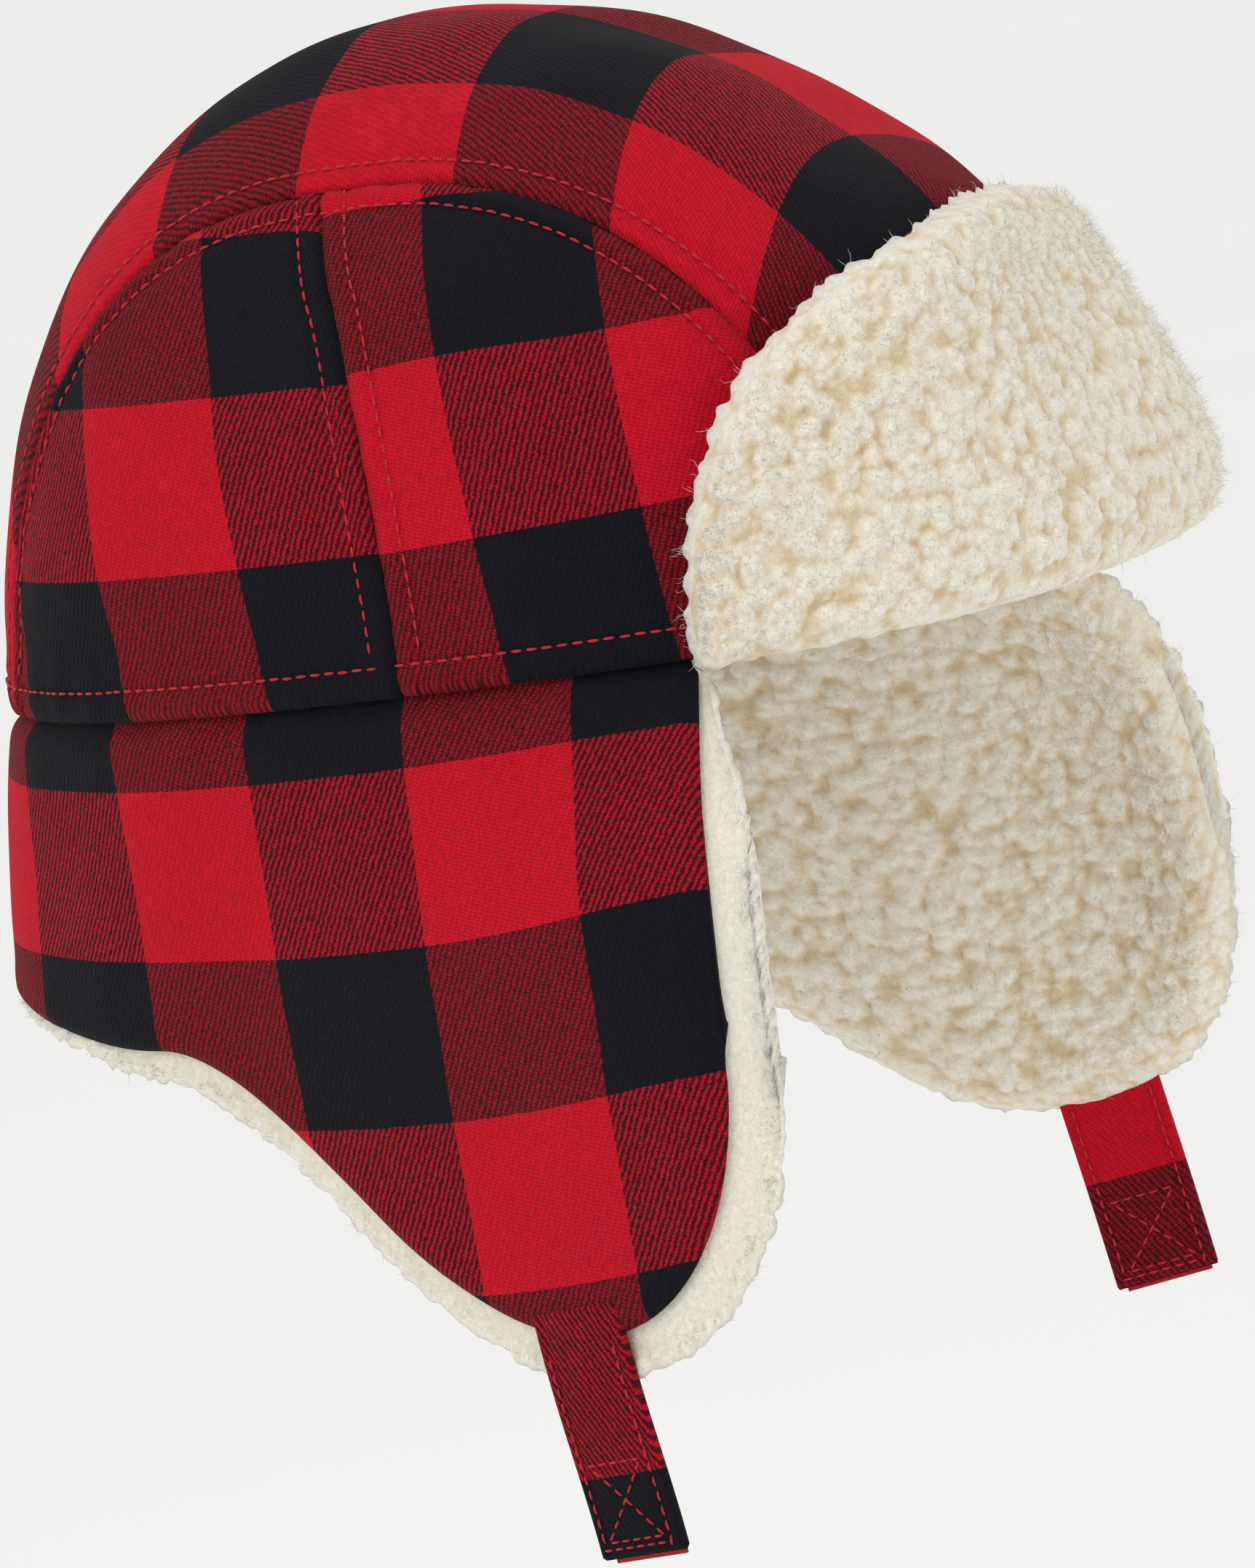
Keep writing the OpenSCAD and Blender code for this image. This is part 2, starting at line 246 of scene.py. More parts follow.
def panel_half(y):
    """Half the long panel's width: it widens by 9% from the top towards brow and nape."""
    return 0.0513 * (1 + 0.09 * (y / half_length) ** 2)


def normals(grid):
    """Unit normals of a grid of points, the cross product of its steps, turned away from the head."""
    n = np.cross(np.gradient(grid, axis=0), np.gradient(grid, axis=1))
    n /= np.maximum(np.linalg.norm(n, axis=-1, keepdims=True), 1e-12)
    out = grid * (1, 1, 0) + (0, 0, 0.3) * np.maximum(grid, 0)
    return n * np.sign((n * out).sum())


def nearest(grid, curve):
    """Each point's distance to a curve of points, and how far along the curve the nearest one is."""
    steps = np.linalg.norm(np.diff(curve, axis=0), axis=1)
    along = np.concatenate([[0], np.cumsum(steps)])
    flat = grid.reshape(-1, 3)
    pick = np.concatenate([((part[:, None] - curve[None]) ** 2).sum(-1).argmin(1)
                           for part in np.array_split(flat, max(1, len(flat) // 4000))])
    distance = np.linalg.norm(flat - curve[pick], axis=1)
    for start in (np.maximum(pick - 1, 0), np.minimum(pick, len(curve) - 2)):
        run = curve[start + 1] - curve[start]
        part = np.clip(((flat - curve[start]) * run).sum(1) / np.maximum((run ** 2).sum(1), 1e-18), 0, 1)
        distance = np.minimum(distance, np.linalg.norm(flat - curve[start] - part[:, None] * run, axis=1))
    return distance.reshape(grid.shape[:2]), along[pick].reshape(grid.shape[:2])


def ripples(grid, length, seed):
    """Soft unevenness from -1 to 1: a mean of eight waves in random directions, about length long."""
    rng = np.random.default_rng(seed)
    ways = rng.normal(size=(8, 3))
    ways *= (rng.uniform(0.6, 1.5, 8) / length / np.linalg.norm(ways, axis=1))[:, None]
    return np.sin(2 * np.pi * (grid @ ways.T + rng.uniform(0, 1, 8))).sum(-1) / 4


def sewn(distance, along, seed):
    """Height of cloth near a topstitched seam: a groove in the seam, a soft ridge beside it,
    a second groove under the stitches 4.5 mm away, and puckers that run across the seam."""
    rng = np.random.default_rng(seed)
    wave = sum(np.sin(2 * np.pi * (along / size + rng.uniform())) for size in (0.0052, 0.0079, 0.0131)) / 3
    return (-0.00055 * np.exp(-(distance / 0.0009) ** 2)
            + 0.00035 * np.exp(-((distance - 0.0025) / 0.0012) ** 2)
            - 0.00042 * np.exp(-((distance - 0.0047) / 0.0008) ** 2)
            + 0.00022 * wave * np.exp(-(distance / 0.0085) ** 2))


def put(name, points, faces, finish, body, nodes, cut=None, pile=None):
    """A mesh object in the hat's frame, its faces turned outwards. The cloth's cut is its UV map."""
    points, faces = np.asarray(points, float), np.asarray(faces)
    a, b, c, d = (points[faces[:, n]] for n in range(4))
    if (np.cross(c - a, d - b) * (a + b + c + d)).sum() < 0:
        faces = faces[:, ::-1]
    mesh = bpy.data.meshes.new(name)
    mesh.from_pydata(points.tolist(), [], faces.tolist())
    mesh.polygons.foreach_set("use_smooth", np.ones(len(faces), bool))
    if cut is not None:
        layer = mesh.uv_layers.new(name="cut")
        layer.data.foreach_set("uv", np.asarray(cut, np.float32)[faces].ravel())
    # The pile attribute carries the lump height, which the sherpa finish turns into painted shade in the
    # crevices.
    if pile is not None:
        mesh.attributes.new("pile", "FLOAT", "POINT").data.foreach_set("value", np.asarray(pile, np.float32))
    mesh.materials.append(finish)
    piece = bpy.data.objects.new(name, mesh)
    bpy.context.scene.collection.objects.link(piece)
    if body:
        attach(piece, body)
    if nodes:
        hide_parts(*nodes)
    return piece


def quads(rows, columns, offset=0):
    """The faces of a grid of points, four corners each."""
    g = np.arange(rows * columns).reshape(rows, columns) + offset
    return np.stack([g[:-1, :-1], g[1:, :-1], g[1:, 1:], g[:-1, 1:]], -1).reshape(-1, 4)


def closed(outer, inner):
    """Points and faces of the closed piece between two grids of the same size."""
    rows, columns = outer.shape[:2]
    g = np.arange(rows * columns).reshape(rows, columns)
    rim = np.concatenate([g[0, :-1], g[:-1, -1], g[-1, :0:-1], g[:0:-1, 0]])
    after = np.roll(rim, -1)
    walls = np.stack([rim, after, after + g.size, rim + g.size], -1)
    faces = np.concatenate([quads(rows, columns), quads(rows, columns, g.size)[:, ::-1], walls])
    return np.concatenate([outer.reshape(-1, 3), inner.reshape(-1, 3)]), faces


def arc(grid, axis):
    """How far along a grid's lines each point is, from the first."""
    step = np.linalg.norm(np.diff(grid, axis=axis), axis=-1)
    zero = np.zeros_like(np.take(step, [0], axis=axis))
    return np.concatenate([zero, np.cumsum(step, axis=axis)], axis=axis)


def stretched(grid):
    """Computes the cross products of the grid's diagonals, and keeps nothing."""
    corners = np.cross(grid[1:, 1:] - grid[:-1, :-1], grid[1:, :-1] - grid[:-1, 1:])


def cloth(name, grid, cut, body, nodes):
    """A sheet of flannel: the grid is its outer face, and the other lies its thickness inside."""
    points, faces = closed(grid, grid - flannel * normals(grid))
    flat = cut.reshape(-1, 2)
    flat = np.concatenate([flat, flat + (flannel, -flannel)])
    piece = put(name, points, faces, buffalo, body, nodes, flat)
    stretched(grid)
    return piece


# The weave: warp and weft yarns both change colour every 30 mm. Where they differ, the twill shows
# beaded diagonals of both. Brushing has raised a soft nap, and loose fibres catch the light.
red, navy, lint = linear(204, 14, 38), linear(18, 18, 26), linear(190, 130, 134)
buffalo, wire = new_finish("buffalo_flannel")
coords = wire.node("ShaderNodeUVMap", {"uv_map": "cut"})
across = wire.node("ShaderNodeSeparateXYZ", Vector=coords)
up = wire.node("ShaderNodeSeparateXYZ", out=1, Vector=coords)
shake = coords.noise(900.0, 2.0, 0.6) - 0.5
warp_dark, weft_dark = ((place + shake * 0.0006) * (0.5 / size)
                        for place, size in ((across, check_across), (up, check_up)))
warp_dark = warp_dark.maths("FRACT").maths("GREATER_THAN", 0.5)
weft_dark = weft_dark.maths("FRACT").maths("GREATER_THAN", 0.5)
drift = (coords.noise(420.0, 3.0, 0.65) - 0.5) * 0.9 + (coords.noise(1500.0, 2.0, 0.6) - 0.5) * 0.75
diagonal = (up * 0.47 - across * 0.88) * (1 / 0.00105) + drift
on_top = diagonal.maths("PINGPONG", 0.5).over(0.15, 0.37)
beads = ((up * 0.95 + across * 0.35) * (1 / 0.00062) + drift * 1.4).maths("PINGPONG", 0.5).over(0.02, 0.24)
fuzz = coords.noise(1300.0, 5.0, 0.72)
nap = coords.noise(1.0, 4.0, 0.65, (900, 420, 1))
worn = coords.noise(48.0, 3.0, 0.55)
float_red = on_top * (1 - weft_dark) + (1 - on_top) * (1 - warp_dark)
mixed = (warp_dark - weft_dark).maths("ABSOLUTE")
red_share = float_red * (1 - mixed * (0.30 + 0.45 * weft_dark) * (1 - beads)) * (1 - 0.26 * mixed * weft_dark)
red_share = red_share * (1 - 0.26 * mixed) + mixed * ((fuzz - 0.5) * 0.6 + 0.11)
red_share = red_share.maths("MAXIMUM", 0).maths("MINIMUM", 1)
colour = red_share.blended(navy, red)
# Brightness of the cloth: the nap, fuzz and wear vary its tone at random, and painted light and shade of the
# weave is mixed in. The yarn beads are painted lighter, with painted shade in the dips between them, and the
# colour is 14% darker off the raised twill diagonals.
nap_tone_and_painted_weave_shade = (0.70 + 0.52 * (fuzz - 0.5) + 0.62 * (nap - 0.5) + 0.30 * beads * (1 - 0.5 * mixed)
         + 0.26 * (worn - 0.5)) * (0.86 + 0.14 * on_top)
colour = wire.node("ShaderNodeMix", {"data_type": "RGBA", "blend_type": "MULTIPLY"}, out=2, _0=1.0,
                   _6=colour, _7=wire.node("ShaderNodeCombineColor", _0=nap_tone_and_painted_weave_shade, _1=nap_tone_and_painted_weave_shade, _2=nap_tone_and_painted_weave_shade))
hair = coords.noise(1.0, 4.0, 0.75, (1500, 420, 1)).over(0.62, 0.80) * 0.10 \
    + coords.noise(1.0, 4.0, 0.75, (400, 1700, 1)).over(0.62, 0.80) * 0.10
colour = hair.blended(colour, lint)
finish_of(colour, 0.95, on_top * 0.30 + beads * 0.25 + fuzz * 0.7 + nap * 0.5, 0.00030, sheen=0.02)

# The long panel runs over the top. Its ends turn under at the base seam, as a soft fold.
over_top = np.radians(np.linspace(0, 180, 250))[:, None]
share = np.linspace(-1, 1, 88)[None]
y = -half_length * np.cos(over_top) + 0 * share
for _ in range(5):
    x = share * panel_half(y)
    y = -length_at(x) * np.cos(over_top)
long_panel = dome(x, y)
seams = {side: long_panel[:, 0 if side < 0 else -1] for side in (-1, 1)}
base_angles = np.linspace(0, 360, 900)
base_seam = np.stack([*outline(base_angles), 0 * base_angles], -1)
skin_points, skin_lift = [], []
fold_rows, turn_in = 4, 0.0018


def raised_edge(grid):
    """The grid lifted 2.2 mm at the base seam, less above as (1 - z / 25 mm)^2."""
    return grid + 0.0022 * np.clip(1 - grid[..., 2:] / 0.025, 0, 1) ** 2 * np.array([0, 0, 1])


def laid(grid, height):
    """The grid moved out by its height. How far the cloth ends up from it is kept for the stitches."""
    skin_points.append(grid[::2, ::2].reshape(-1, 3))
    moved = grid + normals(grid) * height[..., None]
    skin_lift.append((raised_edge(moved) - grid)[::2, ::2].reshape(-1, 3))
    return moved


def tucked(grid):
    """The grid with its edge raised, and rows before it that turn the edge under, along a quarter
    circle towards the head."""
    grid = raised_edge(grid)
    edge, n = grid[:1], normals(grid)[:1] * (1, 1, 0)
    n /= np.linalg.norm(n, axis=-1, keepdims=True)
    bend = np.linspace(np.pi / 2, 0, fold_rows, endpoint=False)[:, None, None]
    return np.concatenate([edge - turn_in * n * (1 - np.cos(bend)) - (0, 0, turn_in) * np.sin(bend), grid])


def relief(grid, seam_lines, seed):
    """Height of a crown panel: sewn seams, a soft fold over the base seam, and slack in between."""
    d, s = nearest(grid, base_seam)
    height = 0.0013 * np.exp(-((d - 0.0025) / 0.006) ** 2) - 0.0006 * np.exp(-((d - 0.0046) / 0.0010) ** 2) \
        + 0.00016 * np.sin(2 * np.pi * s / 0.0094) * np.exp(-((d - 0.004) / 0.006) ** 2)
    slack = 1 - 0.7 * np.exp(-(d / 0.012) ** 2)
    for n, line in enumerate(seam_lines):
        d, s = nearest(grid, line)
        height += sewn(d, s, seed + n)
        slack = slack * (1 - 0.8 * np.exp(-(d / 0.014) ** 2))
    loose = 0.0006 + 0.0011 * ripples(grid, 0.085, seed) + 0.0005 * ripples(grid, 0.034, seed + 9)
    return height + slack * loose


height = relief(long_panel, seams.values(), 3)
across, along = arc(long_panel, 1), arc(long_panel, 0)
half = len(long_panel) // 2
cut = np.stack([0.85 * (across - across[:, -1:] / 2) + 0.0610, 0.975 * (along - along[half] + 0.0225)], -1)
long_panel = laid(long_panel, height)
cut = np.concatenate([cut[:1].repeat(fold_rows, 0), cut, cut[-1:].repeat(fold_rows, 0)])
long_panel = np.concatenate([tucked(long_panel[:half]), tucked(long_panel[half:][::-1])[::-1]])
cloth("crown_long_panel", long_panel, cut, "crown", ["crown_centre_panel"])

# Two panels fill each side. The upright seam between them leans back a little towards the top.
side_seams = {}


def side_grid(side, first, last, columns, rows):
    """A side panel: columns up from the base seam to the long seam, first and last its end angles,
    each a function of the height share, in degrees round the head."""
    up_share = np.linspace(0, 1, rows)[:, None]
    angle = first(up_share) + (last(up_share) - first(up_share)) * np.linspace(0, 1, columns)[None]
    bx, by = outline(angle)
    edge = np.ones_like(bx)
    for _ in range(30):
        edge = 0.5 * edge + 0.5 * np.minimum(1, panel_half(by * edge) / np.maximum(np.abs(bx), 1e-9))
    top = np.arccos(np.clip(edge, 0, 1) ** (dome_power / 2))
    ring = np.cos(top * up_share) ** (2 / dome_power)
    z = crown_height * np.sin(top * up_share) ** (2 / dome_power)
    grid = np.stack([-side * bx * ring, by * ring + lean(z), z], -1)
    return grid, angle, ring


corner = np.degrees(np.arcsin((panel_half(half_length * 0.93) / half_width) ** (plan_power / 2)))
girth_angles = np.linspace(0, 180, 721)
girth = arc(np.stack(outline(girth_angles), -1)[None], 1)[0]
middle_girth = np.interp(90, girth_angles, girth)


def round_head(angle):
    """How far round the base seam an angle is, from the side's middle towards the front."""
    return middle_girth - np.interp(angle, girth_angles, girth)


def split(share):
    """The upright seam's angle round the head at a height share."""
    return 88 + 3.6 * share ** 2


def front_corner(share):
    """The long seam's angle round the head at its front end, the same at every height share."""
    return corner + 0 * share


def back_corner(share):
    """The long seam's angle at its back end."""
    return 180 - corner + 0 * share


for side, word in ((-1, "right"), (1, "left")):
    line, _, _ = side_grid(side, split, lambda share: split(share) + 1, 2, 80)
    side_seams[side] = line[:, 0]
    for part, first, last in (("front", front_corner, split), ("back", split, back_corner)):
        grid, angle, ring = side_grid(side, first, last, 80, 76)
        u, v = round_head(angle) * ring, arc(grid, 0)
        if part == "front":
            cut = np.stack([1.07 * (u + 0.12 * v) + 0.0023, 0.94 * (v - 0.045 * u) - 0.0228], -1)
        else:
            cut = np.stack([u + 0.11 * v + 0.0494, v - 0.0248], -1)
        height = relief(grid, (seams[side], side_seams[side]), 20 + 7 * side + len(part))
        grid = tucked(laid(grid, height))
        cut = np.concatenate([cut[:1].repeat(fold_rows, 0), cut])
        cloth(f"side_{part}_flannel_{word}", grid, cut, "crown", [f"crown_{part}_panel_{word}"])

# ---- Topstitching on the crown -------------------------------------------------------
# Red cotton thread, two rows beside every crown seam and one above the base seam. Each stitch is
# a short round bead of thread that dips into the cloth at both ends.
thread, wire = new_finish("red_thread")
place = wire.node("ShaderNodeTexCoord", out=3)
strand = place.noise(2600.0, 2.0)
finish_of(strand.blended(linear(140, 16, 28), linear(214, 48, 56)), 0.6, strand, 0.0001, sheen=0.1)
bead_around, bead_along = np.meshgrid(np.arange(6) * np.pi / 3, np.array([-1, -0.72, 0, 0.72, 1.0]))
bead_size = np.array([0.12, 0.75, 1, 0.75, 0.12])[:, None]
bead = np.stack([bead_along + 0 * bead_around, np.cos(bead_around) * bead_size,
                 np.sin(bead_around) * bead_size - 0.55 * bead_along ** 2], -1)
here = np.arange(30).reshape(5, 6)
beyond = np.roll(here, -1, 1)
bead_faces = np.concatenate([np.stack([here[:-1], here[1:], beyond[1:], beyond[:-1]], -1).reshape(-1, 4),
                             [[0, 1, 2, 3], [0, 3, 4, 5], [27, 26, 25, 24], [29, 28, 27, 24]]])


def stitched(curves, pitch=0.0027, length=0.00098, width=0.00034):
    """Beads along curves of (points, outward normals), one every pitch: the bead's frame is the
    curve's tangent, the normal, and their cross product."""
    points, faces = [], []
    for line, out in curves:
        along = arc(line[None], 1)[0]
        count = int(along[-1] / pitch)
        where = (np.arange(count) + 0.5) * along[-1] / max(count, 1)
        centre, up_, ahead = (np.stack([np.interp(where, along, v[:, k]) for k in range(3)], -1)
                              for v in (line, out, np.gradient(line, axis=0)))
        ahead /= np.linalg.norm(ahead, axis=1, keepdims=True)
        across_ = np.cross(up_, ahead)
        across_ /= np.linalg.norm(across_, axis=1, keepdims=True)
        up_ = np.cross(ahead, across_)
        shape = bead.reshape(1, -1, 3)
        stitch = (centre[:, None] + length * shape[..., :1] * ahead[:, None]
                  + width * shape[..., 1:2] * across_[:, None] + width * shape[..., 2:] * up_[:, None])
        start = sum(len(p) for p in points)
        faces.append((bead_faces[None] + bead_around.size * np.arange(count)[:, None, None]).reshape(-1, 4)
                     + start)
        points.append(stitch.reshape(-1, 3))
    return np.concatenate(points), np.concatenate(faces)


def beside(line, shift):
    """A seam's line moved along the crown by shift, with the crown's normals, clear of the belt row."""
    ahead = np.gradient(line, axis=0)
    ahead /= np.linalg.norm(ahead, axis=1, keepdims=True)
    moved = on_crown(*(line + shift * np.cross(crown_normal(line), ahead)).T)
    keep = moved[:, 2] > belt_height + 0.002
    return moved[keep], crown_normal(moved[keep])


def crown_normal(points):
    """Outward direction on the crown, from the slope of ring^p + (z/H)^p."""
    x, y, z = points.T
    y = y - lean(z)
    k = np.maximum(ring_of(x, y), 1e-4) ** (dome_power - plan_power)
    n = np.stack([k * signed_power(x / half_width, plan_power - 1) / half_width,
                  k * signed_power(y / half_length, plan_power - 1) / half_length,
                  (np.maximum(z, 0) / crown_height) ** (dome_power - 1) / crown_height], -1)
    return n / np.linalg.norm(n, axis=1, keepdims=True)


def straight(line):
    """The same points before the crown leans back."""
    return line - np.stack([0 * line[:, 2], lean(line[:, 2]), 0 * line[:, 2]], -1)


beside_seam, belt_height = 0.0046, 0.0044
rows = []
for side in (-1, 1):
    for line in (seams[side], side_seams[side]):
        for shift in (-beside_seam, beside_seam):
            rows.append(beside(straight(line), shift))
belt_angles = np.linspace(0, 360, 700)
belt = on_crown(*outline(belt_angles), np.full(belt_angles.size, belt_height))
rows.append((belt, crown_normal(belt)))
skin_points, skin_lift = np.concatenate(skin_points), np.concatenate(skin_lift)
for n, (line, out) in enumerate(rows):
    pick = np.argsort(((line[:, None] - skin_points[None]) ** 2).sum(-1), axis=1)[:, :3]
    rows[n] = line + skin_lift[pick].mean(1) + 0.0001 * out, out
points, faces = stitched(rows, width=0.00027)
put("crown_topstitching", points, faces, thread, "crown", [])

# ---- Neck band and earflaps: flannel outside -----------------------------------------
# On each side one piece of the same flannel is cut in one with its earflap, sewn to the crown's
# edge under the soft fold. It stands out from the cheek in front and follows the neck behind.
neck_depth, flap_depth = 0.057, 0.1065
flap_front, flap_tip, flap_corner = 0.0575, 0.024, 0.056


def angle_at(y):
    """The angle round the base seam at a distance in front of or behind the middle."""
    return np.degrees(np.arccos(np.clip(-np.sign(y) * np.abs(y / half_length) ** (plan_power / 2), -1, 1)))


def hem_depth(y):
    """Depth of the hem: a quarter of a squared oval in front of the tip, an S-shaped rise behind it,
    and 6 mm more towards the middle of the nape."""
    front = np.clip((-flap_tip - y) / (flap_front - flap_tip), 0, 1)
    behind = smooth(np.clip((y + flap_tip) / 0.080, 0, 1) ** 1.1)
    rise = 0.006 * smooth((y - 0.058) / 0.042)
    return np.where(y < -flap_tip, flap_corner + (flap_depth - flap_corner) * (1 - front ** 2.2) ** (1 / 2.2),
                    flap_depth + (neck_depth - flap_depth) * behind - rise)


def on_band(angle, depth, side):
    """The band's surface: straight down from the outline, carried out to the side over the cheek as
    28 mm (1 - e^-(h/26)^1.4), and back over the neck as 16 mm (h / 57)^0.75, h the depth in mm."""
    x, y = outline(angle)
    down = np.maximum(depth, 0)
    cheek = smooth((110 - angle) / (110 - angle_at(-flap_front)))
    splay = 0.028 * cheek * (1 - np.exp(-(down / 0.026) ** 1.4))
    flare = 0.016 * smooth((angle - 105) / 75) * (down / neck_depth) ** 0.75
    return np.stack([-side * (x - splay), y - 0.25 * splay + flare, -depth], -1)


def band_grid(side, columns, rows, lower=0.0, forward=None, top=0.0):
    """The band's grid: a third of its columns round the front corner, crowded at the edge, and rows
    down to the hem, crowded there. forward says how far its front edge comes, from the depth share,
    lower how far it goes past the hem, less at the nape, and top how far up inside the crown."""
    front = columns // 3
    places = np.linspace(0, 1, front, endpoint=False)[:, None]
    turn = 0.65 * np.cos(np.pi / 2 * places) + 0.35 * (1 - places)
    spread = np.linspace(0, 1, rows)[None]
    share = 0.45 * spread + 0.55 * np.sin(np.pi / 2 * spread)
    ahead = 0 * share if forward is None else forward(share)
    y = -flap_tip - (flap_front - flap_tip + ahead) * turn
    angle = np.concatenate([angle_at(y), angle_at(-flap_tip) + (180.0 - angle_at(-flap_tip))
                            * np.linspace(0, 1, columns - front)[:, None] + 0 * share])
    hem = np.concatenate([hem_depth(-flap_tip - (flap_front - flap_tip) * turn),
                          hem_depth(outline(angle[front:, :1])[1])])
    if lower:
        lower = lower * (1 - 0.85 * smooth((outline(angle[:, :1])[1] - 0.030) / 0.065))
    return on_band(angle, (hem + lower + top) * share - top, side), angle


def free_edge(grid):
    """The line down the front edge and along the hem of a band grid."""
    return np.concatenate([grid[0, :-1], grid[:, -1]])


for side, word in ((-1, "right"), (1, "left")):
    tuck_up = 0.003
    grid, angle = band_grid(side, 190, 134, top=tuck_up)
    down = arc(grid, 1) - tuck_up
    cut = np.stack([round_head(angle) + 0 * down + 0.0563, 0.0412 - down], -1)
    d, _ = nearest(grid, free_edge(grid))
    slack = 1 - 0.6 * np.exp(-(d / 0.012) ** 2)
    loose = 0.0010 + 0.0009 * ripples(grid, 0.075, 60 + side) + 0.0003 * ripples(grid, 0.03, 64 + side)
    height = (slack * loose
              - 0.0011 * (1 - np.minimum(d / 0.0024, 1)) ** 2
              + 0.00030 * np.exp(-((d - 0.004) / 0.003) ** 2)
              - 0.0024 * np.exp(-(np.maximum(down + 0.0008, 0) / 0.0030) ** 2))
    grid = grid + normals(grid) * height[..., None]
    band = cloth(f"band_and_earflap_{word}", grid, cut, None, [f"neck_band_{word}", f"earflap_shell_{word}"])
    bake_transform(band)

# ---- Sherpa: the lining of the band and earflaps -------------------------------------
# Cream sherpa fleece, a knitted ground with a long curly pile, lines the band and the earflaps. It
# is cut larger than the flannel, so a rolled strip of pile shows past the front edge and the hem.
pile_depth, ground_gap, skin = 0.0090, 0.0018, 0.0004


def curls(points, size, seed):
    """Curly lumps: a softened distance, -ln(sum of e^-9d) / 9, to the jittered middles, one in every
    cube of the given size, as a share of that size, and the nearest lump's own random number."""
    place = points / size
    home = np.floor(place)
    best, own, total = np.full(len(points), 9.0), np.zeros(len(points)), np.zeros(len(points))
    for step in np.ndindex(3, 3, 3):
        cell = home + np.array(step) - 1
        rnd = [np.modf(np.abs(np.sin(cell @ np.array(k) + seed) * 43758.5453))[0]
               for k in ((12.9898, 78.233, 37.719), (39.346, 11.135, 83.155), (73.156, 52.235, 9.151))]
        distance = np.linalg.norm(cell + 0.5 + 0.84 * (np.stack(rnd, -1) - 0.5) - place, axis=1)
        total += np.exp(-9 * distance)
        closer = distance < best
        best, own = np.where(closer, distance, best), np.where(closer, rnd[0], own)
    return -np.log(total) / 9, own


def pile_height(points, seed):
    """The pile's height from 0 to 1: soft round lumps 3 mm across, and some of finer curls."""
    bent = points + 0.0005 * np.stack([ripples(points, 0.007, seed + k) for k in range(3)], -1)
    far, own = curls(bent, 0.0034, seed)
    near, _ = curls(bent, 0.0017, seed + 1)
    big = np.clip(1 - np.maximum(far + 0.06, 0) ** 2 / 0.62, 0, 1) * (0.72 + 0.28 * own)
    return 0.76 * big + 0.24 * np.clip(1 - np.maximum(near + 0.06, 0) ** 2 / 0.62, 0, 1)


def fleece(name, outer, toward, edge_distance, body, nodes, seed, amount=0.0022, roll=0.0085,
           depth=pile_depth):
    """A padded piece of sherpa between an outer grid and a face a depth along toward, thinned to a
    skin over a quarter circle of radius roll at its free edge. Pile stands on its inner face and
    round its edge. The ground, its outer face, is smooth but for a strip beside the edge."""
    near_edge = np.clip(edge_distance / roll, 0, 1)
    thick = skin + (depth - skin) * np.sqrt(1 - (1 - near_edge) ** 2)
    inner = outer + toward * thick[..., None]
    points, faces = closed(outer, inner)
    mesh_normals = np.zeros_like(points)
    a, b, c, d = (points[faces[:, n]] for n in range(4))
    face_normals = np.cross(c - a, d - b)
    for n in range(4):
        for k in range(3):
            mesh_normals[:, k] += np.bincount(faces[:, n], face_normals[:, k], len(points))
    mesh_normals /= np.maximum(np.linalg.norm(mesh_normals, axis=1, keepdims=True), 1e-12)
    if (mesh_normals[outer[..., 0].size:] * toward.reshape(-1, 3)).sum() < 0:
        mesh_normals *= -1
    lumps = pile_height(points, seed)
    strip = 0.0010 + 0.0042 * smooth(-outer[..., 2].reshape(-1) / 0.045)
    ground = smooth(edge_distance.reshape(-1) / strip)
    amounts = np.concatenate([1 - ground, 0.25 + 0.75 * smooth(2 * near_edge.reshape(-1))]) * amount
    sunk = 0.55 * np.tile(smooth(near_edge.reshape(-1) * 1.6), 2)
    points = points + mesh_normals * ((lumps - sunk) * amounts)[:, None]
    # The lump height is handed on for painted shade in the crevices. On the outer ground it is held at 0.62
    # or more, so the painted shade there stays light.
    height_for_crevice_shade = np.concatenate([np.maximum(lumps[:ground.size], 0.62), lumps[ground.size:]])
    piece = put(name, points, faces, sherpa, body, nodes, pile=height_for_crevice_shade)
    raised = np.flatnonzero((amounts > 0.5 * amount) & (lumps > 0.45))
    return piece, points[raised], mesh_normals[raised]


